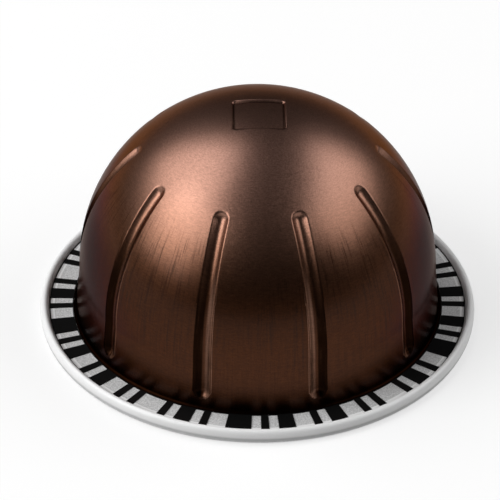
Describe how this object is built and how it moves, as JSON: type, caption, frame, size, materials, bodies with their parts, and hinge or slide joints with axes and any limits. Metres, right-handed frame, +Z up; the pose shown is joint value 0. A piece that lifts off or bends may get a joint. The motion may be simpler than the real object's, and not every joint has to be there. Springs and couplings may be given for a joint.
{
  "type": "coffee pod",
  "caption": "Sealed dome-shaped coffee pod of brown aluminium with pressed grooves, a flat flange with a printed bar ring, a rolled rim and a foil lid underneath",
  "frame": {"origin": "centre of the rolled rim, on the surface that the pod stands on", "axes": "+Z up along the axis of the dome, -Y towards the viewer"},
  "size_m": [0.062, 0.062, 0.033],
  "materials": {
    "capsule": "satin brown lacquer, bare metal on the flange and the bead",
    "lid_foil": "bare satin foil",
    "code_band": "black print"
  },
  "bodies": {
    "root": {"capsule": "capsule", "lid_foil": "lid_foil", "code_band": "code_band"}
  },
  "joints": []
}
